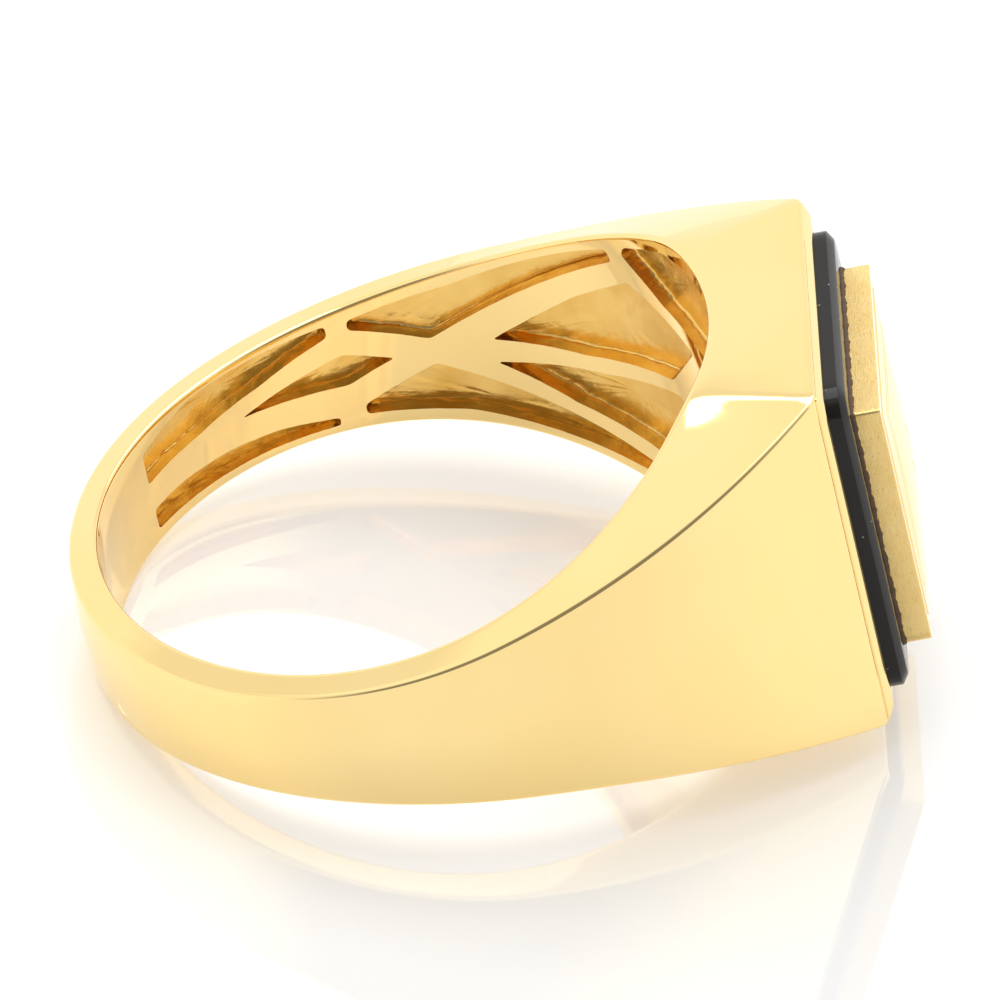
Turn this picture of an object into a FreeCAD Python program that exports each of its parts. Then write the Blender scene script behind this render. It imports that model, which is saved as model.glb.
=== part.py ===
import FreeCAD, Part
import math
import os
from FreeCAD import Vector

# A signet ring: a cast gold ring with a flat rectangular head, an onyx tablet bedded in
# the head, and a gold plaque held on the onyx by two posts.
# The ring is modelled upright, with its finger axis on Z and its head towards +X, and
# is laid down on its side at the end. All sizes are in millimetres.

# Finger hole and band
hole_radius = 9.9
band_back_wall = 1.05
band_side_wall = 1.25
band_inner_height = 3.9
band_outer_height = 3.4
inner_rise_power = 2.85
outer_rise_power = 2.35

# Head and shoulders
head_wall = 3.15
head_width = 10.96
head_height = 12.3
head_flat_share = 0.955
shoulder_start_deg = 78.0

# Bevelled frame round the stone, and the seat that is sunk in it
frame_step = 0.1
frame_rise = 0.2
frame_slope = 0.3
seat_depth = 0.35
seat_clearance = 0.04
seat_corner_gap = 0.1

# Onyx tablet, and the margins of the head that it leaves bare
stone_side_margin = 0.52
stone_end_margin = 0.62
stone_corner = 0.9
stone_girdle = 0.4
stone_bevel_rise = 0.2
stone_bevel_run = 0.3

# Plaque, the margins of the stone that it leaves bare, posts and the two films of cement
plaque_side_margin = 0.96
plaque_end_margin = 1.21
plaque_edge = 0.84
plaque_face_margin = 0.55
plaque_face_step = 0.02
plaque_crown = 0.31
plaque_corner = 0.12
bed_film = 0.05
plaque_film = 0.06
plaque_film_inset = 0.12
post_radius = 0.45
post_spacing = 4.2
post_in_plaque = 0.4
post_in_head = 0.9
post_clearance = 0.05

# Openwork pockets behind the shoulders
pocket_depth_band = 0.45
pocket_depth_shoulder = 0.5
pocket_depth_head = 0.45
pocket_corner = 0.08

# Pocket outlines on the wall of the finger hole, for one side of the ring. Each point is an
# angle from the head in degrees and a height as a share of the wall's half height. The slots
# and the wings have an upper and a lower outline; the fan and the crown repeat below.
pocket_slot_upper = [(149, 0.10), (149, 0.66), (134, 0.87), (119, 0.86), (105, 0.81), (105, 0.62),
                     (119, 0.34), (134, 0.15)]
pocket_slot_lower = [(149, -0.39), (149, -0.76), (133, -0.80), (120, -0.82), (106, -0.84),
                     (106, -0.72), (117, -0.56), (127, -0.46), (140, -0.39)]
pocket_kite = [(124, -0.04), (103, 0.27), (94, 0.0), (103, -0.24)]
pocket_fan = [(101, 0.61), (87, 0.17), (47, 0.79), (48, 0.89), (82, 0.81), (101, 0.76)]
pocket_wing_upper = [(76, 0.07), (58, 0.49), (44, 0.64), (27, 0.30), (37, 0.0), (58, -0.04)]
pocket_wing_lower = [(76, -0.20), (54, -0.17), (36, -0.09), (26, -0.37), (44, -0.66), (62, -0.53)]
pocket_crown = [(44, 0.85), (43, 0.90), (31, 0.91), (16, 0.90), (6, 0.90), (6, 0.36), (24, 0.37),
                (35, 0.54), (42, 0.76)]

side_stations = 72
field_stations = 8
guide_inner_radius = hole_radius - 2.0
guide_outer_margin = 4.95

head_distance = hole_radius + head_wall
guide_outer_radius = head_distance + guide_outer_margin
cutter_reach = 2 * hole_radius
stone_width = head_width - 2 * stone_side_margin
stone_height = head_height - 2 * stone_end_margin
plaque_width = stone_width - 2 * plaque_side_margin
plaque_height = stone_height - 2 * plaque_end_margin
half_width = head_width / 2
half_height = head_height / 2
frame_front = head_distance + frame_rise
seat_floor = frame_front - seat_depth
stone_back = seat_floor + bed_film
stone_table = frame_front + stone_girdle + stone_bevel_rise
plaque_back = stone_table + plaque_film
plaque_rim = plaque_back + plaque_edge
plaque_top = plaque_rim + plaque_face_step + plaque_crown
post_end = plaque_back + post_in_plaque
post_start = seat_floor - post_in_head


def band_circle():
    """Centre and radius of the band's outer circle, from its back and side walls."""
    back = hole_radius + band_back_wall
    side = hole_radius + band_side_wall
    centre = (side ** 2 - back ** 2) / (2 * back)
    return centre, back + centre


def shoulder_arc():
    """Start, middle, end, centre and radius of the arc from the band to the head's edge."""
    centre, radius = band_circle()
    turn = math.radians(shoulder_start_deg)
    start = Vector(centre + radius * math.cos(turn), radius * math.sin(turn), 0)
    end = Vector(head_distance, half_width, 0)
    outward = Vector(math.cos(turn), math.sin(turn), 0)
    chord = end - start
    arc_radius = chord.Length ** 2 / (-2 * chord.dot(outward))
    arc_centre = start - outward * arc_radius
    middle = start + chord * 0.5 - arc_centre
    middle.normalize()
    return start, arc_centre + middle * arc_radius, end, arc_centre, arc_radius


def ray_to_circle(angle, centre_x, centre_y, radius):
    """Distance from the finger axis, at an angle, to the far side of a circle."""
    along = centre_x * math.cos(angle) + centre_y * math.sin(angle)
    return along + math.sqrt(along ** 2 - centre_x ** 2 - centre_y ** 2 + radius ** 2)


def outline_radius(angle):
    """Distance from the finger axis to the ring's outline in plan."""
    angle = abs(math.atan2(math.sin(angle), math.cos(angle)))
    start, _, _, arc_centre, arc_radius = shoulder_arc()
    if angle <= math.atan2(half_width, head_distance):
        return head_distance / math.cos(angle)
    if angle <= math.atan2(start.y, start.x):
        return ray_to_circle(angle, arc_centre.x, arc_centre.y, arc_radius)
    centre, radius = band_circle()
    return ray_to_circle(angle, centre, 0, radius)


def inner_height(angle):
    """Half height of the side face at the finger hole, flat where it meets the head."""
    share = (1 + math.cos(angle)) / 2
    rise = min(1.0, share / head_flat_share) ** inner_rise_power
    return band_inner_height / 2 + (head_height - band_inner_height) / 2 * rise


def outer_height(angle):
    """Half height of the side face at the outline."""
    back = hole_radius + band_back_wall
    share = (outline_radius(angle) * math.cos(angle) + back) / (head_distance + back)
    rise = min(1.0, share) ** outer_rise_power
    return band_outer_height / 2 + (head_height - band_outer_height) / 2 * rise


def side_point(angle, radius):
    """Point of the side face: straight along each radius, through both edges."""
    inner = inner_height(angle)
    fall = (outer_height(angle) - inner) / (outline_radius(angle) - hole_radius)
    height = inner + fall * (radius - hole_radius)
    return Vector(radius * math.cos(angle), radius * math.sin(angle), height)


def above_side_face():
    """Everything above the ring's upper side face, as a solid."""
    angles = [2 * math.pi * step / side_stations for step in range(side_stations)]
    edges = []
    for radius in (guide_inner_radius, guide_outer_radius):
        curve = Part.BSplineCurve()
        curve.interpolate([side_point(angle, radius) for angle in angles], PeriodicFlag=True)
        edges.append(curve.toShape())
    side_face = Part.makeRuledSurface(edges[0], edges[1])
    return side_face.extrude(Vector(0, 0, half_height * 3))


def plan_prism():
    """The ring's outline in plan, taller than the head."""
    start, middle, end, _, _ = shoulder_arc()
    centre, radius = band_circle()

    def mirrored(point):
        return Vector(point.x, -point.y, 0)

    edges = [
        Part.makeLine(mirrored(end), end),
        Part.Arc(end, middle, start).toShape(),
        Part.Arc(start, Vector(centre - radius, 0, 0), mirrored(start)).toShape(),
        Part.Arc(mirrored(start), mirrored(middle), mirrored(end)).toShape(),
    ]
    prism = Part.Face(Part.Wire(edges)).extrude(Vector(0, 0, head_height * 2))
    prism.translate(Vector(0, 0, -head_height))
    return prism


def rectangle(x, width, height):
    """Rectangular wire across the head at a distance x from the finger axis."""
    corners = [(-width, -height), (width, -height), (width, height), (-width, height)]
    points = [Vector(x, y / 2, z / 2) for y, z in corners]
    return Part.makePolygon(points + points[:1])


def block(x_start, x_end, width, height):
    """Block centred on the head's axis."""
    return Part.makeBox(x_end - x_start, width, height, Vector(x_start, -width / 2, -height / 2))


def edges_along(shape, direction):
    """Straight edges that run along a direction."""
    found = []
    for edge in shape.Edges:
        if isinstance(edge.Curve, Part.Line) and edge.Curve.Direction.cross(direction).Length < 1e-6:
            found.append(edge)
    return found


def edges_at(shape, x):
    """Edges that lie wholly at a distance x from the finger axis."""
    return [edge for edge in shape.Edges
            if abs(edge.BoundBox.XMin - x) < 1e-4 and abs(edge.BoundBox.XMax - x) < 1e-4]


def posts(radius, x_start, x_end):
    """The two posts, or the holes for them."""
    along_x = Vector(1, 0, 0)
    return [Part.makeCylinder(radius, x_end - x_start, Vector(x_start, 0, side * post_spacing / 2), along_x)
            for side in (1, -1)]


def pocket(outline, depth, mirror_y, mirror_z):
    """Cutter for one openwork pocket, with straight walls and a floor that follows the hole."""
    angles = [math.radians(angle) for angle, _ in outline]
    middle = (min(angles) + max(angles)) / 2
    across = Vector(-math.sin(middle), math.cos(middle), 0)
    outward = Vector(math.cos(middle), math.sin(middle), 0)
    points = []
    for angle, (_, share) in zip(angles, outline):
        height = share * inner_height(angle)
        points.append(across * (hole_radius * math.sin(angle - middle)) + Vector(0, 0, height))
    prism = Part.Face(Part.makePolygon(points + points[:1])).extrude(outward * cutter_reach)
    prism = prism.makeFillet(pocket_corner, edges_along(prism, outward))
    floor = Part.makeCylinder(hole_radius + depth, head_height, Vector(0, 0, -half_height))
    cutter = prism.common(floor)
    if mirror_y:
        cutter = cutter.mirror(Vector(0, 0, 0), Vector(0, 1, 0))
    if mirror_z:
        cutter = cutter.mirror(Vector(0, 0, 0), Vector(0, 0, 1))
    return cutter


def openwork():
    """All the pockets: both shoulders, above and below the middle."""
    cutters = []
    for mirror_y in (False, True):
        for outline in (pocket_kite, pocket_slot_upper, pocket_slot_lower):
            cutters.append(pocket(outline, pocket_depth_band, mirror_y, False))
        for outline in (pocket_wing_upper, pocket_wing_lower):
            cutters.append(pocket(outline, pocket_depth_shoulder, mirror_y, False))
        for mirror_z in (False, True):
            cutters.append(pocket(pocket_fan, pocket_depth_shoulder, mirror_y, mirror_z))
            cutters.append(pocket(pocket_crown, pocket_depth_head, mirror_y, mirror_z))
    return cutters


def bevelled_frame():
    """Low frame with sloping sides on the front of the head."""
    base_width = head_width - 2 * frame_step
    base_height = head_height - 2 * frame_step
    base = rectangle(head_distance - frame_rise, base_width, base_height)
    foot = rectangle(head_distance, base_width, base_height)
    top = rectangle(frame_front, base_width - 2 * frame_slope, base_height - 2 * frame_slope)
    return Part.makeLoft([base, foot, top], True, True)


def ring_body():
    """Cast ring: band, shoulders and head in one piece, with the seat for the stone."""
    above = above_side_face()
    body = plan_prism().cut(above).cut(above.mirror(Vector(0, 0, 0), Vector(0, 0, 1)))
    body = body.cut(Part.makeCylinder(hole_radius, head_height * 2, Vector(0, 0, -head_height)))
    body = body.fuse(bevelled_frame())
    for cutter in openwork():
        body = body.cut(cutter)
    seat = block(seat_floor, frame_front + 1, stone_width + 2 * seat_clearance,
                 stone_height + 2 * seat_clearance)
    seat = seat.makeFillet(stone_corner - seat_corner_gap, edges_along(seat, Vector(1, 0, 0)))
    body = body.cut(seat)
    for hole in posts(post_radius, post_start, frame_front):
        body = body.cut(hole)
    return body


def onyx_tablet():
    """Onyx tablet with rounded corners, a bevelled face and two drilled holes."""
    stone = block(stone_back, stone_table, stone_width, stone_height)
    stone = stone.makeFillet(stone_corner, edges_along(stone, Vector(1, 0, 0)))
    stone = stone.makeChamfer(stone_bevel_rise, stone_bevel_run, edges_at(stone, stone_table))
    for hole in posts(post_radius + post_clearance, stone_back - 1, stone_table + 1):
        stone = stone.cut(hole)
    return stone


def domed_field():
    """Low pillow inside the plaque's flat margin, level along its four edges."""
    half_across = plaque_width / 2 - plaque_face_margin
    half_along = plaque_height / 2 - plaque_face_margin
    rows = []
    for row in range(field_stations + 1):
        across = half_across * (2 * row / field_stations - 1)
        points = []
        for column in range(field_stations + 1):
            along = half_along * (2 * column / field_stations - 1)
            rise = plaque_crown * (1 - (across / half_across) ** 2) * (1 - (along / half_along) ** 2)
            points.append(Vector(plaque_rim + plaque_face_step + rise, across, along))
        rows.append(points)
    surface = Part.BSplineSurface()
    surface.interpolate(rows)
    return surface.toShape().extrude(Vector(-plaque_face_step - plaque_edge / 2, 0, 0))


def plaque():
    """Gold tile with a flat margin, a domed field and blind holes for the posts."""
    tile = block(plaque_back, plaque_rim, plaque_width, plaque_height)
    tile = tile.makeFillet(plaque_corner, edges_along(tile, Vector(1, 0, 0)))
    tile = tile.fuse(domed_field())
    for hole in posts(post_radius, plaque_back - 1, post_end):
        tile = tile.cut(hole)
    return tile


def cement_film(x_start, x_end, width, height, corner):
    """Thin bed of cement, with the posts passing through it."""
    film = block(x_start, x_end, width, height)
    film = film.makeFillet(corner, edges_along(film, Vector(1, 0, 0)))
    for hole in posts(post_radius, x_start - 1, x_end + 1):
        film = film.cut(hole)
    return film


def lay_down(shapes):
    """Lay the ring on its side, on the back of its band and the flat lower side of its head."""
    flat_reach = 2 * hole_radius * head_flat_share
    lean = math.atan2((head_height - band_inner_height) / 2, flat_reach)
    for shape in shapes.values():
        shape.rotate(Vector(0, 0, 0), Vector(0, 1, 0), -math.degrees(lean))
    bounds = Part.makeCompound(list(shapes.values())).optimalBoundingBox(False)
    shift = Vector(-(bounds.XMin + bounds.XMax) / 2, 0, -bounds.ZMin)
    for shape in shapes.values():
        shape.translate(shift)
    return math.degrees(lean), shift


shapes = {
    "ring_body": ring_body(),
    "onyx_tablet": onyx_tablet(),
    "plaque": plaque(),
    "stone_cement": cement_film(seat_floor, stone_back, stone_width, stone_height, stone_corner),
    "plaque_cement": cement_film(stone_table, plaque_back, plaque_width - 2 * plaque_film_inset,
                                 plaque_height - 2 * plaque_film_inset, plaque_corner),
}
for name, post in zip(("plaque_post_upper", "plaque_post_lower"), posts(post_radius, post_start, post_end)):
    shapes[name] = post

lean, shift = lay_down(shapes)
os.makedirs("parts", exist_ok=True)
for name, shape in shapes.items():
    shape.exportStep("parts/" + name + ".step")
    print(name, "solids", len(shape.Solids), "valid", shape.isValid(), "volume", round(shape.Volume, 3))
print("lean", round(lean, 4), "shift", [round(value, 4) for value in shift])
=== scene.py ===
import math

import bmesh
import bpy
import numpy as np
from mathutils import Matrix, Vector


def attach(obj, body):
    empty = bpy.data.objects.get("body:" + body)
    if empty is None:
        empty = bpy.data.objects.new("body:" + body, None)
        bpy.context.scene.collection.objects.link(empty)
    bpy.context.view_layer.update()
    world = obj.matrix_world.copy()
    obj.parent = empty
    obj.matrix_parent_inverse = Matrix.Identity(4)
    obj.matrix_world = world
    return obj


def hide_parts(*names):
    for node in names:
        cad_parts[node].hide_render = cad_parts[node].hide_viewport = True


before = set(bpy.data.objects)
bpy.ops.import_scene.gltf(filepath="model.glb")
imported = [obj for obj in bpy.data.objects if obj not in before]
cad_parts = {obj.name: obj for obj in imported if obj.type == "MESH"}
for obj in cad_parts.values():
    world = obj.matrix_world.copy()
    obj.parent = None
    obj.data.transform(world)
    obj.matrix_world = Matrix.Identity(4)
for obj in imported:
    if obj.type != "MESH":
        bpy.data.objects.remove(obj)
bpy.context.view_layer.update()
mm = 0.001

# The ring is worked out upright, in millimetres, with the finger axis on Z and the head
# towards +X, and is laid on its side by layDown().
ring = {
    "holeRadius": 9.9,
    "backWall": 1.05,
    "sideWall": 1.25,
    "bandInner": 1.95,       # half height of the band at the hole
    "bandOuter": 1.7,        # half height of the band at the outside
    "headDistance": 13.05,
    "headHalfWidth": 5.48,
    "headHalfHeight": 6.15,
    "flatShare": 0.955,      # share of the bore's width at which the flat side of the head begins
    "innerPower": 2.85,      # how late the hole's edge rises towards the head
    "outerPower": 2.35,      # the same for the outer edge
    "shoulderStart": 78.0,   # degrees from the head
    "holeRound": 0.2,
    "creaseRound": 0.13,
    "cornerRound": 0.34,
    "foldSoftness": 0.03,    # how gently the flat side of the head turns down to the shoulder
    "skin": 0.003,           # the polished surface lies this far inside the cast size
    "bandCrown": 0.13,       # how far the outside of the band falls away at its edges
    "crownStart": 50.0,      # degrees from the head's corner to where that is full
    "headColumns": 24,
    "bandColumns": 200,
    "cornerColumns": 9,
    "bendRows": 7,
    "faceRows": (9, 15, 9, 7),  # upper side, outside, lower side, hole
}
bandBack = ring["holeRadius"] + ring["backWall"]
bandSide = ring["holeRadius"] + ring["sideWall"]
headEnd = math.atan2(ring["headHalfWidth"], ring["headDistance"])
leanAngle = math.atan2(ring["headHalfHeight"] - ring["bandInner"],
                       2 * ring["holeRadius"] * ring["flatShare"])


def bandCircle():
    # circle round the band, through its back and both of its sides
    centre = (bandSide ** 2 - bandBack ** 2) / (2 * bandBack)
    return centre, bandBack + centre


def shoulderArc():
    # arc that leaves the band circle along its tangent and ends at the head's corner
    centre, radius = bandCircle()
    turn = math.radians(ring["shoulderStart"])
    outward = np.array([math.cos(turn), math.sin(turn)])
    start = np.array([centre, 0.0]) + radius * outward
    chord = np.array([ring["headDistance"], ring["headHalfWidth"]]) - start
    arcRadius = (chord @ chord) / (-2 * chord @ outward)
    return start, start - outward * arcRadius, arcRadius


def rayToCircle(angle, centreX, centreY, radius):
    # distance from the finger axis to the far side of a circle, along each angle
    along = centreX * np.cos(angle) + centreY * np.sin(angle)
    return along + np.sqrt(along ** 2 - centreX ** 2 - centreY ** 2 + radius ** 2)


def outlineRadius(angle):
    # distance from the finger axis to the outline: head, then shoulder arc, then band circle
    angle = np.abs(angle)
    start, arcCentre, arcRadius = shoulderArc()
    centre, radius = bandCircle()
    shoulderEnd = math.atan2(start[1], start[0])
    head = ring["headDistance"] / np.cos(np.minimum(angle, headEnd))
    shoulder = rayToCircle(angle, arcCentre[0], arcCentre[1], arcRadius)
    band = rayToCircle(angle, centre, 0.0, radius)
    return np.where(angle <= headEnd, head, np.where(angle <= shoulderEnd, shoulder, band))


def innerHeight(angle):
    # half height of the hole's wall: a power of the distance along the head's axis, which stays
    # level over the head; the lesser of that distance and 1 is eased where they meet
    share = (1 + np.cos(angle)) / 2 / ring["flatShare"]
    soft = ring["foldSoftness"]
    near = np.clip(0.5 + 0.5 * (1 - share) / soft, 0, 1)
    level = share * near + (1 - near) - soft * near * (1 - near)
    rise = level ** ring["innerPower"]
    return ring["bandInner"] + (ring["headHalfHeight"] - ring["bandInner"]) * rise


def outerHeight(angle, radius):
    # half height of the outside: a power of the distance from the band's back to the head
    share = (radius * np.cos(angle) + bandBack) / (ring["headDistance"] + bandBack)
    rise = np.minimum(1, share) ** ring["outerPower"]
    return ring["bandOuter"] + (ring["headHalfHeight"] - ring["bandOuter"]) * rise


def layDown(points):
    # turn about Y until the band's back and the head's flat side both touch the table, then
    # put the middle of the length on the origin
    turned = np.array(points, dtype=float)
    turned[..., 0] = points[..., 0] * math.cos(leanAngle) - points[..., 2] * math.sin(leanAngle)
    turned[..., 2] = points[..., 0] * math.sin(leanAngle) + points[..., 2] * math.cos(leanAngle)
    lowX = -bandBack * math.cos(leanAngle) - ring["bandOuter"] * math.sin(leanAngle)
    highX = plaqueRimX * math.cos(leanAngle) + plaque["halfHeight"] * math.sin(leanAngle)
    turned[..., 0] -= (lowX + highX) / 2
    turned[..., 2] += ring["holeRadius"] * math.sin(leanAngle) + ring["bandInner"] * math.cos(leanAngle)
    return turned * mm


def gridFaces(rows, columns, closedRows):
    # quads of a grid whose columns wrap round, and whose rows wrap round if closedRows
    rowCount = rows if closedRows else rows - 1
    r, c = np.meshgrid(np.arange(rowCount), np.arange(columns), indexing="ij")
    r2, c2 = (r + 1) % rows, (c + 1) % columns
    quads = np.stack([r * columns + c, r * columns + c2, r2 * columns + c2, r2 * columns + c], -1)
    return quads.reshape(-1, 4)


def makeObject(name, points, faces, uv=None):
    mesh = bpy.data.meshes.new(name)
    mesh.from_pydata(points.reshape(-1, 3).tolist(), [], faces.tolist())
    if uv is not None:
        layer = mesh.uv_layers.new(name="UVMap")
        loopVerts = np.empty(len(mesh.loops), dtype=np.int32)
        mesh.loops.foreach_get("vertex_index", loopVerts)
        layer.data.foreach_set("uv", uv.reshape(-1, 2)[loopVerts].astype(np.float32).ravel())
    piece = bpy.data.objects.new(name, mesh)
    bpy.context.scene.collection.objects.link(piece)
    return piece


def weldAndTurnOut(piece):
    # merges points that fall together, as at a pole, and turns the faces outward
    work = bmesh.new()
    work.from_mesh(piece.data)
    bmesh.ops.remove_doubles(work, verts=work.verts, dist=1e-9)
    bmesh.ops.recalc_face_normals(work, faces=work.faces)
    work.to_mesh(piece.data)
    work.free()


def smoothByAngle(piece, degrees):
    piece.data.polygons.foreach_set("use_smooth", np.ones(len(piece.data.polygons), dtype=bool))
    piece.data.set_sharp_from_angle(angle=math.radians(degrees))


def roundedCorner(before, corner, after, cut, steps):
    # quadratic curve that starts and ends at the distance cut from the corner
    def towards(other):
        step = other - corner
        return corner + step * cut / np.linalg.norm(step, axis=-1, keepdims=True)
    t = np.linspace(0, 1, steps)[:, None, None]
    return (1 - t) ** 2 * towards(before) + 2 * t * (1 - t) * corner + t ** 2 * towards(after)


def roundedOutline(corners, cut, cornerSteps, edgeSteps):
    # closed outline of 2-D corners with each corner rounded, by no more than a share of its
    # shorter edge, and each edge divided
    largestShare = 0.4
    corners = np.array(corners, dtype=float)
    bends = []
    for index, corner in enumerate(corners):
        before, after = corners[index - 1], corners[(index + 1) % len(corners)]
        shortest = min(np.linalg.norm(before - corner), np.linalg.norm(after - corner))
        ownCut = min(cut, largestShare * shortest)
        bend = roundedCorner(before[None], corner[None], after[None], ownCut, cornerSteps)
        bends.append(bend[:, 0, :])
    joined = []
    for index, bend in enumerate(bends):
        following = bends[(index + 1) % len(bends)][0]
        t = np.linspace(0, 1, edgeSteps + 2)[1:-1, None]
        joined.extend([bend, bend[-1] * (1 - t) + following * t])
    return np.concatenate(joined)


def outwardNormals(outline):
    # unit normals of a closed outline that runs anticlockwise, from each point's neighbours
    step = np.roll(outline, -1, 0) - np.roll(outline, 1, 0)
    return np.stack([step[:, 1], -step[:, 0]], -1) / np.linalg.norm(step, axis=1, keepdims=True)


def lengthAlong(outline):
    # distance from an outline's first point to each of its points
    return np.concatenate([[0], np.cumsum(np.linalg.norm(np.diff(outline, axis=0), axis=1))])


def rectangleOutline(halfWidth, halfHeight, corner, cornerSteps=9, edgeSteps=24):
    corners = [(-halfWidth, -halfHeight), (halfWidth, -halfHeight),
               (halfWidth, halfHeight), (-halfWidth, halfHeight)]
    return roundedOutline(corners, corner, cornerSteps, edgeSteps)


def loopPiece(name, outlines, xs, closedRows, uv=None):
    # each row is an outline in Y and Z at its own X; rows are joined in order
    points = np.stack([np.broadcast_to(xs, outlines.shape[:2]), outlines[..., 0], outlines[..., 1]], -1)
    faces = gridFaces(outlines.shape[0], outlines.shape[1], closedRows)
    piece = makeObject(name, layDown(points), faces, uv)
    weldAndTurnOut(piece)
    return piece


def closedStack(rows, halfWidth, halfHeight, corner, smallestCorner, edgeSteps=24):
    # outlines and X places of a block's rows, each an X and an inset; both ends close to a point
    outlines = [rectangleOutline(halfWidth + inset, halfHeight + inset,
                                 max(smallestCorner, corner + inset), edgeSteps=edgeSteps)
                for _, inset in rows]
    outlines[0], outlines[-1] = outlines[0] * 0, outlines[-1] * 0
    return np.stack(outlines), np.array([x for x, _ in rows])[:, None]


def outlineColumns():
    # angles and radii round the ring, dense at the head's two corners, which are rounded
    cut = ring["cornerRound"]
    _, arcCentre, _ = shoulderArc()
    corner = np.array([ring["headDistance"], ring["headHalfWidth"]])
    tangent = np.array([arcCentre[1] - corner[1], corner[0] - arcCentre[0]])
    tangent = tangent / np.linalg.norm(tangent)
    t = np.linspace(0, 1, ring["cornerColumns"])[:, None]
    bend = (1 - t) ** 2 * (corner - [0, cut]) + 2 * t * (1 - t) * corner + t ** 2 * (corner + tangent * cut)
    bendAngle = np.arctan2(bend[:, 1], bend[:, 0])
    bendRadius = np.hypot(bend[:, 0], bend[:, 1])
    front = np.linspace(0, bendAngle[0], ring["headColumns"])[:-1]
    rest = np.linspace(bendAngle[-1], math.pi, ring["bandColumns"])[1:]
    angles = np.concatenate([front, bendAngle, rest])
    radii = np.concatenate([outlineRadius(front), bendRadius, outlineRadius(rest)])
    angles = np.concatenate([angles, -angles[-2:0:-1]])
    radii = np.concatenate([radii, radii[-2:0:-1]])
    return angles, radii - ring["skin"]


def ringSections():
    # at each angle the section is a four-cornered loop, hole wall and outer wall upright and
    # both side faces straight between the edge heights, with every corner rounded; the band's
    # outside swells by bandCrown from its edges to its middle
    angles, outer = outlineColumns()
    inner = np.full_like(angles, ring["holeRadius"])
    top, topOuter = innerHeight(angles), outerHeight(angles, outer)
    blend = np.clip((np.abs(angles) - headEnd) / math.radians(ring["crownStart"]), 0, 1)
    drop = ring["bandCrown"] * blend * blend * (3 - 2 * blend)
    corners = [np.stack([inner, top], -1), np.stack([outer - drop, topOuter], -1),
               np.stack([outer - drop, -topOuter], -1), np.stack([inner, -top], -1)]
    cuts = [ring["holeRound"], ring["creaseRound"], ring["creaseRound"], ring["holeRound"]]
    bendRows, faceRows = ring["bendRows"], ring["faceRows"]
    bends = [roundedCorner(corners[i - 1], corners[i], corners[(i + 1) % 4], cuts[i], bendRows)
             for i in range(4)]
    rows = []
    for i in range(4):
        t = np.linspace(0, 1, faceRows[i] + 2)[1:-1][:, None, None]
        rows.append(bends[i])
        rows.append(bends[i][-1][None] * (1 - t) + bends[(i + 1) % 4][0][None] * t)
    section = np.concatenate(rows)
    radius, height = section[..., 0], section[..., 1]
    edge = np.clip(np.abs(height) / np.maximum(topOuter, 1e-6), 0, 1)
    firstOutside = bendRows + faceRows[0]
    outside = np.zeros(len(section), dtype=bool)
    outside[firstOutside:firstOutside + 2 * bendRows + faceRows[1]] = True
    radius = radius + np.where(outside[:, None], drop * (1 - edge ** 2), 0)
    return np.stack([radius * np.cos(angles), radius * np.sin(angles), height], -1)


pockets = {
    "bandDepth": 0.45, "shoulderDepth": 0.5, "headDepth": 0.45,
    "cornerRound": 0.16, "cornerSteps": 5, "edgeSteps": 15,
    "wallWaves": 0.028, "floorWaves": 0.012,
    "wavesFrom": 0.3,        # share of the depth below which the floor is uneven
    "wallTwist": 5.0, "floorStretch": 0.7, "floorTwist": 2.0, "floorPhase": 1.0,
}
# Pocket outlines: angle from the head in degrees, height as a share of the wall's half height,
# then the depth's name and whether the outline repeats below the middle
pocketShapes = [
    ([(149, 0.10), (149, 0.66), (134, 0.87), (119, 0.86), (105, 0.81), (105, 0.62), (119, 0.34),
      (134, 0.15)], "bandDepth", False),
    ([(149, -0.39), (149, -0.76), (133, -0.80), (120, -0.82), (106, -0.84), (106, -0.72),
      (117, -0.56), (127, -0.46), (140, -0.39)], "bandDepth", False),
    ([(124, -0.04), (103, 0.27), (94, 0.0), (103, -0.24)], "bandDepth", False),
    ([(76, 0.07), (58, 0.49), (44, 0.64), (27, 0.30), (37, 0.0), (58, -0.04)], "shoulderDepth", False),
    ([(76, -0.20), (54, -0.17), (36, -0.09), (26, -0.37), (44, -0.66), (62, -0.53)],
     "shoulderDepth", False),
    ([(101, 0.61), (87, 0.17), (47, 0.79), (48, 0.89), (82, 0.81), (101, 0.76)], "shoulderDepth", True),
    ([(44, 0.85), (43, 0.90), (31, 0.91), (16, 0.90), (6, 0.90), (6, 0.36), (24, 0.37), (35, 0.54),
      (42, 0.76)], "headDepth", True),
]
# Rings of a pocket's cutter from the hole inward: share of the outline's size, place (millimetres
# inside the hole where negative, else share of the depth) and share of the walls' unevenness
cutterRings = [
    (0.0, -0.8, 0.0), (0.5, -0.8, 0.0), (1.0, -0.8, 0.25), (1.0, 0.0, 0.25), (1.0, 0.3, 0.7),
    (1.0, 0.6, 1.0), (1.0, 0.86, 1.0), (0.985, 0.95, 1.0), (0.96, 1.0, 0.8), (0.85, 1.0, 0.3),
    (0.7, 1.0, 0.0), (0.5, 1.0, 0.0), (0.25, 1.0, 0.0), (0.0, 1.0, 0.0),
]
# Ripples of the cast walls: strength, then cycles along, across and in phase
castRipples = [(1.0, 6.1, 0.0, 1.0), (0.7, 14.3, 3.0, 2.1), (0.5, 27.0, -2.0, 4.7)]


def waves(along, across, phase):
    # uneven casting: a sum of unrelated ripples along a wall, between about -1 and 1
    total = sum(strength * np.sin(along * cycles + across * cross + phase * shift)
                for strength, cycles, cross, shift in castRipples)
    return total / sum(ripple[0] for ripple in castRipples)


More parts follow.
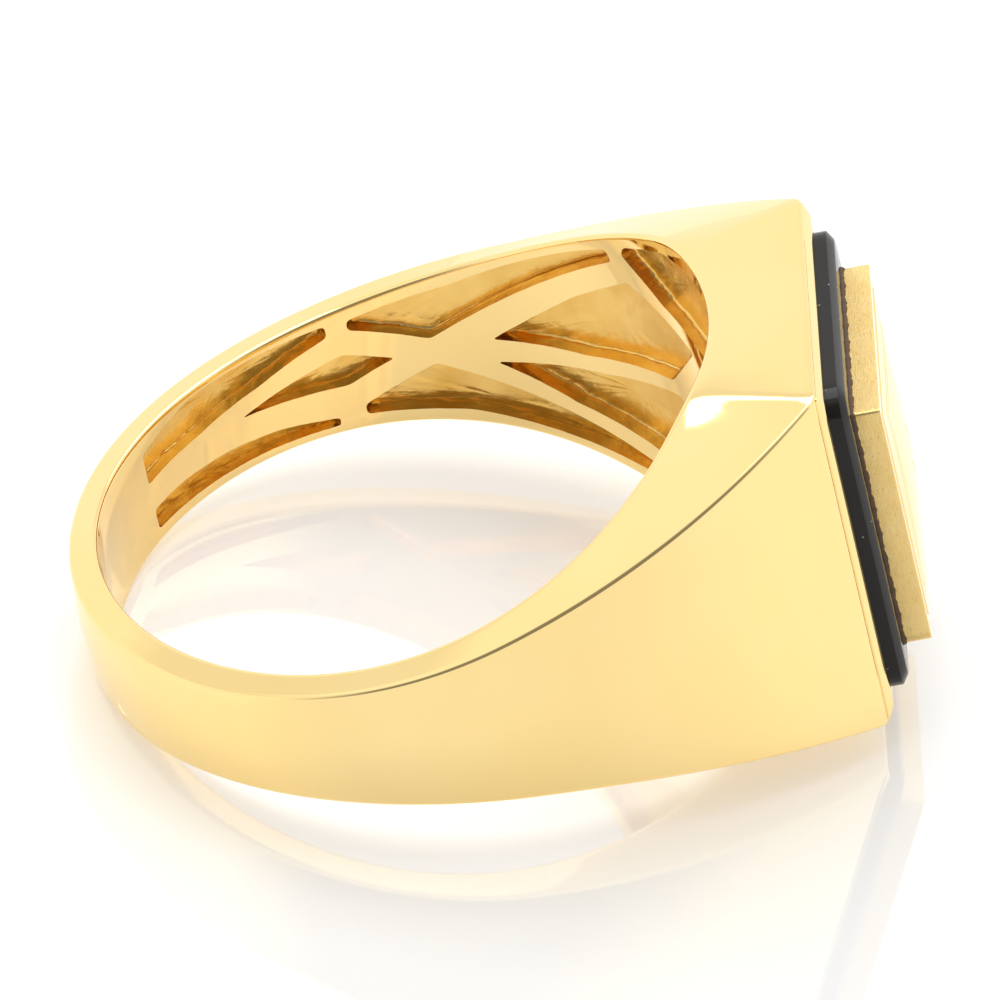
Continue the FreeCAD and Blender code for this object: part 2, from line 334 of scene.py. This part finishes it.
def pocketCutter(outline, depth, flipY, flipZ, phase):
    # prism whose walls run straight out at the pocket's middle angle, and whose floor keeps
    # a steady depth behind the wall of the hole; rings shrink from the rim to the centre
    angles = np.radians([angle for angle, _ in outline])
    middle = (angles.min() + angles.max()) / 2
    side = ring["holeRadius"] * np.sin(angles - middle)
    height = np.array([share for _, share in outline]) * innerHeight(angles)
    rim = roundedOutline(np.stack([side, height], -1), pockets["cornerRound"],
                         pockets["cornerSteps"], pockets["edgeSteps"])
    centre = rim.mean(0)
    shrink, place, rough = np.array(cutterRings).T
    shrink, rough = shrink[:, None, None], rough[:, None]
    reach = np.where(place > 0, place * depth, place)[:, None]
    ripple = waves(lengthAlong(rim)[None, :], reach * pockets["wallTwist"], phase)
    ripple = ripple * pockets["wallWaves"] * rough
    flat = centre + (rim - centre) * shrink + outwardNormals(rim)[None] * ripple[..., None]
    dips = waves(flat[..., 0] * pockets["floorStretch"] + flat[..., 1],
                 flat[..., 1] * pockets["floorTwist"], phase + pockets["floorPhase"]) * pockets["floorWaves"]
    distance = ring["holeRadius"] + reach + np.where(reach > pockets["wavesFrom"] * depth, dips, 0)
    out = np.sqrt(distance ** 2 - flat[..., 0] ** 2)
    points = np.stack([
        out * math.cos(middle) - flat[..., 0] * math.sin(middle),
        out * math.sin(middle) + flat[..., 0] * math.cos(middle),
        flat[..., 1],
    ], -1)
    points = points * [1, -1 if flipY else 1, -1 if flipZ else 1]
    cutter = makeObject("cutter", layDown(points), gridFaces(len(cutterRings), len(rim), False))
    weldAndTurnOut(cutter)
    return cutter


def seatCutter():
    # block with rounded corners that sinks the stone's seat in the head, closed at both ends
    outline = rectangleOutline(stone["halfWidth"] + stone["seatGap"], stone["halfHeight"] + stone["seatGap"],
                               stone["corner"], cornerSteps=8, edgeSteps=6)
    outlines = outline * np.array([0.0, 1.0, 1.0, 0.0])[:, None, None]
    clear = 1.0
    back, front = frontX - stone["seatDepth"], frontX + clear
    return loopPiece("seat", outlines, np.array([back, back, front, front])[:, None], False)


def cutAway(piece, cutters):
    for cutter in cutters:
        modifier = piece.modifiers.new("cut", "BOOLEAN")
        modifier.operation = "DIFFERENCE"
        modifier.solver = "EXACT"
        modifier.material_mode = "TRANSFER"
        modifier.object = cutter
    bpy.context.view_layer.update()
    evaluated = piece.evaluated_get(bpy.context.evaluated_depsgraph_get())
    result = bpy.data.meshes.new_from_object(evaluated)
    piece.modifiers.clear()
    piece.data = result
    for cutter in cutters:
        bpy.data.objects.remove(cutter)


def joinObjects(name, pieces):
    work = bmesh.new()
    for piece in pieces:
        work.from_mesh(piece.data)
    mesh = bpy.data.meshes.new(name)
    work.to_mesh(mesh)
    work.free()
    for piece in pieces:
        bpy.data.objects.remove(piece)
    joined = bpy.data.objects.new(name, mesh)
    bpy.context.scene.collection.objects.link(joined)
    return joined


def makeRingBody(polished, cast):
    # the carried section, less the pockets in the hole's wall and the stone's seat
    phaseStep = 1.7
    points = ringSections()
    faces = gridFaces(points.shape[0], points.shape[1], True)
    body = makeObject("ring_shank_and_head", layDown(points), faces)
    weldAndTurnOut(body)
    body.data.materials.append(polished)
    cutters = []
    for outline, depthName, repeats in pocketShapes:
        for flipY in (False, True):
            for flipZ in ((False, True) if repeats else (False,)):
                phase = phaseStep * len(cutters)
                cutters.append(pocketCutter(outline, pockets[depthName], flipY, flipZ, phase))
    allPockets = joinObjects("pockets", cutters)
    seat = seatCutter()
    for cutter in (allPockets, seat):
        cutter.data.materials.append(cast)
    cutAway(body, [allPockets, seat])
    smoothByAngle(body, 32)
    return body


headFrame = {
    "rise": 0.2,             # from the head's face to the frame's top
    "step": 0.1,             # ledge of the head outside the frame
    "slope": 0.3,
    "depth": 0.5,            # from the top to the foot, which is sunk in the head
    "round": 0.03,
    "footRise": 0.02, "footInset": 0.03,
    "edgeLead": 0.05, "edgeDip": 0.008,
    "outerCorners": (0.1, 0.1, 0.1, 0.15, 0.18, 0.2),
}
frontX = ring["headDistance"] + headFrame["rise"]


def makeHeadFrame(polished):
    # a low frame with sloping sides round the stone; rows run up the outside and down the inside
    width = ring["headHalfWidth"] - headFrame["step"]
    height = ring["headHalfHeight"] - headFrame["step"]
    slope, bend = headFrame["slope"], headFrame["round"]
    outerRows = [
        (frontX - headFrame["depth"], 0.0),
        (ring["headDistance"], 0.0),
        (ring["headDistance"] + headFrame["footRise"], headFrame["footInset"]),
        (frontX - bend, slope - headFrame["edgeLead"]),
        (frontX - headFrame["edgeDip"], slope),
        (frontX, slope + bend),
    ]
    innerRows = [(frontX, bend), (frontX - bend, 0.0), (frontX - headFrame["depth"], 0.0)]
    outlines = [rectangleOutline(width - inset, height - inset, corner)
                for (_, inset), corner in zip(outerRows, headFrame["outerCorners"])]
    gapWidth = stone["halfWidth"] + stone["seatGap"]
    gapHeight = stone["halfHeight"] + stone["seatGap"]
    outlines += [rectangleOutline(gapWidth + growth, gapHeight + growth, stone["corner"] + growth)
                 for _, growth in innerRows]
    xs = np.array([x for x, _ in outerRows + innerRows])[:, None]
    piece = loopPiece("stone_frame", np.stack(outlines), xs, True)
    piece.data.materials.append(polished)
    smoothByAngle(piece, 40)
    return piece


stone = {
    "halfWidth": 4.96, "halfHeight": 5.53, "corner": 1.0,
    "seatDepth": 0.35, "seatGap": 0.04,
    "film": 0.05,            # cement under the stone
    "girdle": 0.4, "bevelRise": 0.2, "bevelRun": 0.3, "edgeRound": 0.03, "smallestCorner": 0.05,
}
stoneBackX = frontX - stone["seatDepth"] + stone["film"]
stoneTableX = frontX + stone["girdle"] + stone["bevelRise"]


def makeStone(onyx):
    # rounded tablet with an upright girdle, a sloping bevel and a flat table; the bevel's two
    # edges are rounded by three rows each, at shares of edgeRound
    bend, run = stone["edgeRound"], stone["bevelRun"]
    girdleTop = stoneTableX - stone["bevelRise"]
    rows = [
        (stoneBackX, 0.0), (stoneBackX, -bend), (stoneBackX + bend, 0.0),
        (girdleTop - bend, 0.0), (girdleTop - 0.3 * bend, -0.1 * bend), (girdleTop + 0.5 * bend, -0.9 * bend),
        (stoneTableX - bend, -run + 1.5 * bend), (stoneTableX - 0.3 * bend, -run + 0.3 * bend),
        (stoneTableX, -run - bend), (stoneTableX, 0.0),
    ]
    outlines, xs = closedStack(rows, stone["halfWidth"], stone["halfHeight"], stone["corner"],
                               stone["smallestCorner"])
    piece = loopPiece("onyx_stone", outlines, xs, False)
    piece.data.materials.append(onyx)
    smoothByAngle(piece, 20)
    return piece


plaque = {
    "halfWidth": 4.0, "halfHeight": 4.32, "corner": 0.12, "smallestCorner": 0.02,
    "film": 0.06,            # cement under the plaque
    "edge": 0.84, "edgeRound": 0.04, "backRound": 0.02, "sideRows": 6, "edgeSteps": 60,
    "fieldMargin": 0.55, "fieldStep": 0.02, "fieldRoot": 0.2, "crown": 0.31,
    "lineTop": 2.55, "lineFoot": 3.2, "lineEnd": 3.2,  # border lines lean outward to the foot
    "grooveWidth": 0.075, "grooveGap": 0.11, "grooveDepth": 0.045,
    "markHalfWidth": 0.6, "markHalfHeight": 0.95, "markLine": 0.1, "markDepth": 0.05,
}
plaqueBackX = stoneTableX + plaque["film"]
plaqueRimX = plaqueBackX + plaque["edge"]
fieldHalfWidth = plaque["halfWidth"] - plaque["fieldMargin"]
fieldHalfHeight = plaque["halfHeight"] - plaque["fieldMargin"]
linePair = plaque["grooveWidth"] + plaque["grooveGap"]
# How closely the field is divided: at the border lines, elsewhere, and over the mark
fieldMesh = {
    "lineReach": 0.06, "lineRows": 0.015, "plainRows": 0.1, "lineColumns": 0.012,
    "markReach": 1.05, "markRows": 90, "markHalf": 0.72, "markColumns": 110,
    "innerColumns": 22, "outerColumns": 8,
}


def groove(away, width, depth):
    # rounded cut with its deepest point where away is 0
    return depth * np.clip(1 - (2 * np.abs(away) / width) ** 2, 0, 1)


def fieldHeight(across, along, borderAcross):
    # pillow with a double border line and a small lozenge in the middle
    rise = plaque["crown"] * (1 - (across / fieldHalfWidth) ** 2) * (1 - (along / fieldHalfHeight) ** 2)
    inset = np.minimum(borderAcross - np.abs(across), plaque["lineEnd"] - np.abs(along))
    for offset in (0.0, linePair):
        rise = rise - groove(inset - offset, plaque["grooveWidth"], plaque["grooveDepth"])
    lozenge = np.abs(across) / plaque["markHalfWidth"] + np.abs(along) / plaque["markHalfHeight"]
    edge = (lozenge - 1) * plaque["markHalfWidth"]
    return rise - groove(edge, plaque["markLine"], plaque["markDepth"])


def fieldRows():
    # places along the field, close together at the border lines and over the mark
    reach, end = fieldMesh["lineReach"], plaque["lineEnd"]
    values = [np.arange(-fieldHalfHeight, fieldHalfHeight, fieldMesh["plainRows"]), [fieldHalfHeight]]
    values += [np.arange(centre - reach, centre + reach, fieldMesh["lineRows"])
               for centre in (end, -end, end - linePair, linePair - end)]
    values = np.unique(np.round(np.concatenate(values), 5))
    values = values[np.abs(values) <= fieldHalfHeight]
    mark = np.linspace(-fieldMesh["markReach"], fieldMesh["markReach"], fieldMesh["markRows"])
    return np.unique(np.concatenate([values, mark]))


def fieldColumns(border):
    # places across the field in each row, close together at that row's border line
    reach, fine = fieldMesh["lineReach"], fieldMesh["lineColumns"]
    nearLine = np.arange(-reach, reach + 0.001, fine)
    nearBorder = np.unique(np.round(np.concatenate([nearLine, linePair + nearLine]), 5))
    line = border[:, None] - nearBorder[::-1]
    middle = np.broadcast_to(np.linspace(-1, 1, fieldMesh["markColumns"]) * fieldMesh["markHalf"],
                             (len(border), fieldMesh["markColumns"]))
    inward = np.linspace(1, 0, fieldMesh["outerColumns"])[1:]
    outer = line[:, -1:] + (fieldHalfWidth - line[:, -1:]) * (1 - inward)
    inner = np.linspace(middle[:, -1], line[:, 0], fieldMesh["innerColumns"], axis=1)[:, 1:-1]
    right = np.concatenate([inner, line, outer], axis=1)
    return np.concatenate([-right[:, ::-1], middle, right], axis=1)


def makeField(polished):
    # grid whose columns follow the leaning border lines, closed below inside the tile
    rows = fieldRows()
    lean = np.clip((rows + plaque["lineEnd"]) / (2 * plaque["lineEnd"]), 0, 1)
    border = plaque["lineFoot"] + (plaque["lineTop"] - plaque["lineFoot"]) * lean
    across = fieldColumns(border)
    along = np.broadcast_to(rows[:, None], across.shape)
    top = plaqueRimX + plaque["fieldStep"] + fieldHeight(across, along, border[:, None])
    upper = np.stack([top, across, along], -1)
    lower = np.stack([np.full_like(top, plaqueRimX - plaque["fieldRoot"]), across, along], -1)
    count, width = across.shape
    total = count * width
    r, c = np.meshgrid(np.arange(count - 1), np.arange(width - 1), indexing="ij")
    quads = np.stack([r * width + c, r * width + c + 1, (r + 1) * width + c + 1, (r + 1) * width + c], -1)
    quads = quads.reshape(-1, 4)
    edge = np.concatenate([np.arange(width), np.arange(1, count) * width + width - 1,
                           (count - 1) * width + np.arange(width - 2, -1, -1),
                           np.arange(count - 2, 0, -1) * width])
    after = np.roll(edge, -1)
    walls = np.stack([edge, after, after + total, edge + total], -1)
    points = np.concatenate([upper.reshape(-1, 3), lower.reshape(-1, 3)])
    field = makeObject("plaque_field", layDown(points), np.concatenate([quads, quads + total, walls]))
    weldAndTurnOut(field)
    field.data.materials.append(polished)
    smoothByAngle(field, 60)
    return field


def makePlaque(brushed, polished):
    # thick tile with sharp corners and barely rounded edges, its face flat round the field
    bend, back = plaque["edgeRound"], plaque["backRound"]
    sideGap, faceRing = 0.1, 0.3  # from the edges to the first rows of the sides and of the face
    rows = [(plaqueBackX, 0.0), (plaqueBackX, -back), (plaqueBackX + back, 0.0)]
    rows += [(x, 0.0) for x in np.linspace(plaqueBackX + sideGap, plaqueRimX - sideGap, plaque["sideRows"])]
    rows += [(plaqueRimX - bend, 0.0), (plaqueRimX - 0.3 * bend, -0.1 * bend),
             (plaqueRimX - 0.05 * bend, -0.4 * bend), (plaqueRimX, -bend), (plaqueRimX, -faceRing),
             (plaqueRimX, 0.0)]
    outlines, xs = closedStack(rows, plaque["halfWidth"], plaque["halfHeight"], plaque["corner"],
                               plaque["smallestCorner"], plaque["edgeSteps"])
    length = lengthAlong(outlines[3])  # a full-size row
    uv = np.stack(np.broadcast_arrays(length, xs - plaqueBackX), -1)
    piece = loopPiece("plaque_tile", outlines, xs, False, uv)
    piece.data.materials.append(brushed)
    piece.data.materials.append(polished)
    polishFace(piece)
    smoothByAngle(piece, 40)
    return piece


def polishFace(piece):
    # the face takes the second material, polished, and the sides keep the brushed one
    axis = [math.cos(leanAngle), 0, math.sin(leanAngle)]
    normals = np.empty(len(piece.data.polygons) * 3)
    piece.data.polygons.foreach_get("normal", normals)
    piece.data.polygons.foreach_set("material_index", (normals.reshape(-1, 3) @ axis > 0.6).astype(np.int32))


glue = {"width": 0.075, "height": 0.13, "wander": 0.022, "sunk": 0.01, "underTile": 0.2,
        "innerRise": 0.8, "cornerGrowth": 0.05, "phase": 0.6, "arcRows": 7, "edgeSteps": 130}


def makeGlueLine(cement):
    # uneven bead squeezed out round the plaque's foot: a quarter ellipse carried round it,
    # whose width and height swell along the way
    corner = plaque["corner"] + glue["cornerGrowth"]
    base = rectangleOutline(plaque["halfWidth"], plaque["halfHeight"], corner, edgeSteps=glue["edgeSteps"])
    along = lengthAlong(base)
    swell = 1 + glue["wander"] / glue["width"] * waves(along, 0, glue["phase"])
    turn = np.linspace(0, math.pi / 2, glue["arcRows"])[:, None]
    hidden = np.full((2, len(along)), -glue["underTile"])
    outward = np.concatenate([hidden, glue["width"] * swell * np.cos(turn)])
    heights = np.concatenate([np.full((1, len(along)), glue["height"] * glue["innerRise"]),
                              np.full((1, len(along)), -glue["sunk"]),
                              glue["height"] * swell * np.sin(turn) - glue["sunk"]])
    outlines = base + outwardNormals(base) * outward[..., None]
    bead = loopPiece("glue_line", outlines, stoneTableX + heights, True)
    bead.data.materials.append(cement)
    smoothByAngle(bead, 50)
    return bead


class Sock:
    # a socket that builds Math nodes when it is used in an expression
    def __init__(self, tree, socket):
        self.tree, self.socket = tree, socket

    def math(self, operation, *others, clamp=False):
        node = self.tree.nodes.new("ShaderNodeMath")
        node.operation, node.use_clamp = operation, clamp
        for index, value in enumerate((self,) + others):
            if isinstance(value, Sock):
                self.tree.links.new(value.socket, node.inputs[index])
            else:
                node.inputs[index].default_value = value
        return Sock(self.tree, node.outputs[0])

    def __add__(self, other):
        return self.math("ADD", other)

    def __sub__(self, other):
        return self.math("SUBTRACT", other)

    def __rsub__(self, other):
        return self * -1.0 + other

    def __mul__(self, other):
        return self.math("MULTIPLY", other)

    def __gt__(self, other):
        return self.math("GREATER_THAN", other)

    __radd__ = __add__
    __rmul__ = __mul__

    def clamped(self):
        return self.math("ADD", 0.0, clamp=True)


class Nodes:
    # the node tree of a material or world, with one method for every node that isn't arithmetic
    def __init__(self, owner):
        owner.use_nodes = True
        self.owner, self.tree = owner, owner.node_tree
        self.tree.nodes.clear()

    def node(self, kind, settings=None, out=0, **inputs):
        # an input is named by its own name, with _ for a space, or by i and its number
        node = self.tree.nodes.new(kind)
        for name, value in (settings or {}).items():
            setattr(node, name, value)
        for name, value in inputs.items():
            socket = node.inputs[int(name[1:]) if name[1:].isdigit() else name.replace("_", " ")]
            if isinstance(value, Sock):
                self.tree.links.new(value.socket, socket)
            else:
                socket.default_value = value
        return Sock(self.tree, node.outputs[out]) if node.outputs else None

    def mix(self, factor, first, second):
        return self.node("ShaderNodeMix", {"data_type": "RGBA"}, out=2, i0=factor, i6=first, i7=second)

    def mixShader(self, factor, first, second):
        return self.node("ShaderNodeMixShader", i0=factor, i1=first, i2=second)

    def upright(self):
        # Object coordinates turned back to the upright ring
        return self.node("ShaderNodeMapping", Vector=self.node("ShaderNodeTexCoord", out="Object"),
                         Rotation=(0, leanAngle, 0))

    def noise(self, place, scale, detail, **inputs):
        return self.node("ShaderNodeTexNoise", Vector=place, Scale=scale, Detail=detail, **inputs)

    def finish(self, **inputs):
        shader = self.node("ShaderNodeBsdfPrincipled", **inputs)
        self.node("ShaderNodeOutputMaterial", Surface=shader)
        return self.owner


polishedFinish = {"pale": (1.0, 0.765, 0.35, 1), "deep": (0.97, 0.71, 0.28, 1), "roughness": 0.05,
                  "cloud": 160.0, "hair": 1400.0, "hairDraw": (1, 1, 14)}


def polishedGold():
    # mirror polish with a breath of colour change and buffing lines
    s = Nodes(bpy.data.materials.new("polished_gold"))
    place = s.upright()
    cloud = s.noise(place, polishedFinish["cloud"], 2.0)
    drawn = s.node("ShaderNodeMapping", Vector=place, Scale=polishedFinish["hairDraw"])
    hair = s.noise(drawn, polishedFinish["hair"], 3.0)
    colour = s.mix((cloud - 0.35) * 1.6, polishedFinish["pale"], polishedFinish["deep"])
    rough = polishedFinish["roughness"] + (cloud - 0.5) * 0.03 + (hair - 0.5) * 0.05
    normal = s.node("ShaderNodeBump", Height=hair, Strength=0.02, Distance=0.00002)
    return s.finish(Base_Color=colour, Metallic=1.0, Roughness=rough, Normal=normal)


castFinish = {"pale": (0.93, 0.64, 0.21, 1), "deep": (0.76, 0.44, 0.09, 1), "roughness": 0.16,
              "grain": 2600.0, "lump": 700.0}


def castGold():
    # the unpolished floors and walls of the pockets, grainy and a little deeper in colour
    s = Nodes(bpy.data.materials.new("cast_gold"))
    place = s.upright()
    grain = s.noise(place, castFinish["grain"], 4.0)
    lump = s.noise(place, castFinish["lump"], 2.0)
    colour = s.mix(((lump - 0.3) * 1.8).clamped(), castFinish["pale"], castFinish["deep"])
    rough = castFinish["roughness"] + grain * 0.16
    normal = s.node("ShaderNodeBump", Height=grain + lump * 1.5, Strength=0.35, Distance=0.00006)
    return s.finish(Base_Color=colour, Metallic=1.0, Roughness=rough, Normal=normal)


brushedFinish = {"low": (0.86, 0.57, 0.18, 1), "high": (1.0, 0.82, 0.42, 1), "pit": (0.25, 0.13, 0.04, 1),
                 "roughness": 0.3, "strokeDraw": (0.9, 26.0, 1), "stroke": 2.2, "broad": 1.1,
                 "pitScale": 3.4, "pitSize": 0.07}


def brushedGold():
    # satin strokes that run along each side of the tile, with small dark pits
    s = Nodes(bpy.data.materials.new("brushed_gold"))
    uv = s.node("ShaderNodeUVMap", {"uv_map": "UVMap"})
    along = s.node("ShaderNodeMapping", Vector=uv, Scale=brushedFinish["strokeDraw"])
    stroke = s.noise(along, brushedFinish["stroke"], 6.0, Roughness=0.7)
    broad = s.noise(uv, brushedFinish["broad"], 2.0)
    pit = s.node("ShaderNodeTexVoronoi", Vector=uv, Scale=brushedFinish["pitScale"])
    hole = ((brushedFinish["pitSize"] - pit) * 30.0).clamped()
    tone = ((stroke - 0.35) * 2.2 + (broad - 0.5) * 0.5).clamped()
    colour = s.mix(tone, brushedFinish["low"], brushedFinish["high"])
    colour = s.mix(hole * 0.8, colour, brushedFinish["pit"])
    rough = (brushedFinish["roughness"] + (stroke - 0.5) * 0.3).clamped()
    normal = s.node("ShaderNodeBump", Height=stroke - hole * 0.8, Strength=0.5, Distance=0.00004)
    return s.finish(Base_Color=colour, Metallic=1.0, Roughness=rough, Normal=normal)


onyxFinish = {"deep": (0.012, 0.011, 0.01, 1), "cloudy": (0.024, 0.021, 0.019, 1), "dust": (0.6, 0.6, 0.6, 1),
              "roughness": 0.07, "cloud": 300.0, "dustScale": 2600.0, "dustSize": 0.1, "dustShare": 0.56}


def blackOnyx():
    # polished black stone, faintly clouded, with a few pale specks of dust
    s = Nodes(bpy.data.materials.new("black_onyx"))
    place = s.upright()
    cloud = s.noise(place, onyxFinish["cloud"], 4.0)
    dust = s.node("ShaderNodeTexVoronoi", Vector=place, Scale=onyxFinish["dustScale"])
    speck = ((onyxFinish["dustSize"] - dust) * 20.0).clamped() * (cloud > onyxFinish["dustShare"])
    colour = s.mix(cloud, onyxFinish["deep"], onyxFinish["cloudy"])
    colour = s.mix(speck * 0.7, colour, onyxFinish["dust"])
    rough = onyxFinish["roughness"] + cloud * 0.08 + speck * 0.4
    return s.finish(Base_Color=colour, Roughness=rough, IOR=1.33)


cementFinish = {"deep": (0.05, 0.025, 0.012, 1), "pale": (0.22, 0.12, 0.05, 1), "grain": 3000.0,
                "roughness": 0.4}


def darkCement():
    s = Nodes(bpy.data.materials.new("dark_cement"))
    grain = s.noise(s.upright(), cementFinish["grain"], 3.0)
    colour = s.mix(grain, cementFinish["deep"], cementFinish["pale"])
    return s.finish(Base_Color=colour, Roughness=cementFinish["roughness"] + grain * 0.3)


table = {"tone": 0.86, "toneChange": 0.01, "grain": 40.0, "glow": 0.32, "mirror": 0.18, "mirrorBlur": 0.03,
         "halfSize": 3.0}


def makeFloor():
    # pale board with a faint mirror in it, and a glow that only adds to what is seen of it
    s = Nodes(bpy.data.materials.new("studio_floor"))
    seen = sum(s.node("ShaderNodeLightPath", out=ray)
               for ray in ("Is Camera Ray", "Is Glossy Ray", "Is Transmission Ray")).clamped()
    place = s.node("ShaderNodeTexCoord", out="Object")
    grain = s.node("ShaderNodeTexNoise", Vector=place, Scale=table["grain"])
    boards = [s.node("ShaderNodeBsdfDiffuse", Color=(tone, tone, tone, 1))
              for tone in (table["tone"], table["tone"] + table["toneChange"])]
    mirror = s.node("ShaderNodeBsdfAnisotropic", Color=(1, 1, 1, 1), Roughness=table["mirrorBlur"])
    glazed = s.mixShader(table["mirror"], s.mixShader(grain, *boards), mirror)
    glow = s.mixShader(seen, s.node("ShaderNodeEmission", Strength=0.0),
                       s.node("ShaderNodeEmission", Strength=table["glow"]))
    s.node("ShaderNodeOutputMaterial", Surface=s.node("ShaderNodeAddShader", i0=glazed, i1=glow))
    corners = np.array([[-1, -1, 0], [1, -1, 0], [1, 1, 0], [-1, 1, 0]]) * table["halfSize"]
    floor = makeObject("floor", corners, np.array([[0, 1, 2, 3]]))
    floor.data.materials.append(s.owner)


tent = {
    "gloss": 1.12, "diffuse": 0.7,
    "gapHeight": 0.64, "gapWidth": 0.07, "gapDark": 0.16,      # grey gap between two softboxes
    "unlitEnd": (0.0, -0.94, 0.34), "unlitDark": 0.75,         # unlit end of the room
}


def makeWorld():
    # white tent with a grey gap part way up and an unlit end; plain white to the camera
    s = Nodes(bpy.data.worlds.new("studio_tent"))
    bpy.context.scene.world = s.owner
    direction = s.node("ShaderNodeTexCoord", out="Generated")
    height = s.node("ShaderNodeSeparateXYZ", out="Z", Vector=direction)
    away = (height - tent["gapHeight"]).math("ABSOLUTE") * (1 / tent["gapWidth"])
    gap = (1.5 - away).clamped() * tent["gapDark"]
    facing = s.node("ShaderNodeVectorMath", {"operation": "DOT_PRODUCT"}, out="Value",
                    i0=direction, i1=tent["unlitEnd"])
    unlit = ((facing - 0.5) * 3.0).clamped() * tent["unlitDark"]

    def cloth(strength):
        return s.node("ShaderNodeBackground", Color=(1, 1, 1, 1), Strength=strength)
    lit = s.mixShader(s.node("ShaderNodeLightPath", out="Is Glossy Ray"), cloth(tent["diffuse"]),
                      cloth(tent["gloss"]))
    shaded = s.mixShader((1 - gap) * (1 - unlit), cloth(0.0), lit)
    seen = s.mixShader(s.node("ShaderNodeLightPath", out="Is Camera Ray"), shaded, cloth(1.0))
    s.node("ShaderNodeOutputWorld", Surface=seen)


softbox = {"place": (0.0, 0.5, 1.2), "size": 1.0, "power": 7.0}


def makeLamp():
    lamp = bpy.data.lights.new("overhead_softbox", "AREA")
    lamp.shape, lamp.size, lamp.energy = "SQUARE", softbox["size"], softbox["power"]
    holder = bpy.data.objects.new("overhead_softbox", lamp)
    turn = (-Vector(softbox["place"])).to_track_quat("-Z", "Y").to_matrix().to_4x4()
    holder.matrix_world = Matrix.Translation(softbox["place"]) @ turn
    bpy.context.scene.collection.objects.link(holder)


view = {"azimuth": 2.8917, "elevation": 34.4163, "roll": 1.8113, "distance": 1.0372, "lens": 1221.74,
        "aim": (0.000161, 0.0, 0.004), "slide": -0.000054, "lift": 0.001141}


def makeCamera():
    # looks along the azimuth and down by the elevation, then rolls; slide and lift move its aim
    azimuth, elevation, roll = (math.radians(view[key]) for key in ("azimuth", "elevation", "roll"))
    forward = Vector((math.sin(azimuth) * math.cos(elevation), math.cos(azimuth) * math.cos(elevation),
                      -math.sin(elevation)))
    right = Vector((math.cos(azimuth), -math.sin(azimuth), 0))
    up = right.cross(forward)
    rightTurned = right * math.cos(roll) + up * math.sin(roll)
    upTurned = up * math.cos(roll) - right * math.sin(roll)
    aim = Vector(view["aim"]) + rightTurned * view["slide"] + upTurned * view["lift"]
    camera = bpy.data.cameras.new("camera")
    camera.lens, camera.sensor_width = view["lens"], 36.0
    camera.clip_start, camera.clip_end = 0.01, 20
    holder = bpy.data.objects.new("camera", camera)
    turn = Matrix((rightTurned, upTurned, -forward)).transposed().to_4x4()
    holder.matrix_world = Matrix.Translation(aim - forward * view["distance"]) @ turn
    bpy.context.scene.collection.objects.link(holder)
    bpy.context.scene.camera = holder


print("stage: materials")
goldPolished, goldCast, goldBrushed = polishedGold(), castGold(), brushedGold()
onyxBlack, cementDark = blackOnyx(), darkCement()

print("stage: ring body")
ringBody = makeRingBody(goldPolished, goldCast)
stoneFrame = makeHeadFrame(goldPolished)
for piece in (ringBody, stoneFrame):
    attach(piece, "root")
    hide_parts("ring_body")

print("stage: stone and plaque")
onyxStone = makeStone(onyxBlack)
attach(onyxStone, "root")
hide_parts("onyx_tablet")
for piece in (makePlaque(goldBrushed, goldPolished), makeField(goldPolished)):
    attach(piece, "root")
    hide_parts("plaque")
glueLine = makeGlueLine(cementDark)
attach(glueLine, "root")
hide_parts("plaque_cement")

print("stage: carried-over parts")
for name, material in (("plaque_post_upper", goldPolished), ("plaque_post_lower", goldPolished),
                       ("stone_cement", cementDark)):
    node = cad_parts[name]
    node.data.materials.clear()
    node.data.materials.append(material)

print("stage: studio")
makeFloor()
makeWorld()
makeLamp()
makeCamera()
bpy.context.scene.view_settings.view_transform = "Standard"
